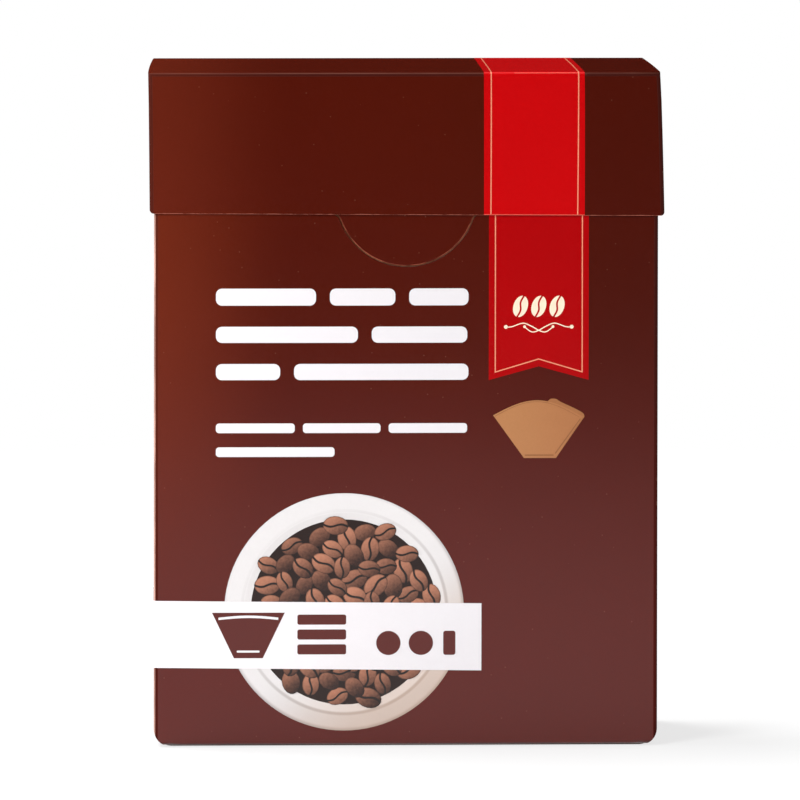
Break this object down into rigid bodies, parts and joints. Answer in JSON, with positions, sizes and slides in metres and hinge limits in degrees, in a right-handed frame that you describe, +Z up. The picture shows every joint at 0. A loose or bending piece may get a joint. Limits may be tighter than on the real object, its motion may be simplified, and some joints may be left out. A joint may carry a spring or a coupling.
{
  "type": "coffee filter carton",
  "caption": "Folding carton with a tear-open flip-top lid and a half-moon thumb tab, filled with cone-shaped kraft paper coffee filters.",
  "frame": {"origin": "middle of the closed carton's underside", "axes": "+Z up, +X to the right seen from the front, -Y towards the front with the thumb tab"},
  "size_m": [0.126, 0.0456, 0.1669],
  "materials": {
    "printed_board": "satin varnished print",
    "raw_board": "uncoated",
    "kraft_paper": "uncoated"
  },
  "bodies": {
    "carton": {"carton_body": "printed_board", "filter_stack": "kraft_paper"},
    "lid": {"lid_cover": "printed_board", "tear_strip": "raw_board"}
  },
  "joints": [
    {"name": "lid_hinge", "type": "hinge", "parent": "carton", "child": "lid", "pos_m": [0, 0.02283, 0.16685], "axis": [-1, 0, 0], "range_deg": [0, 120]}
  ]
}
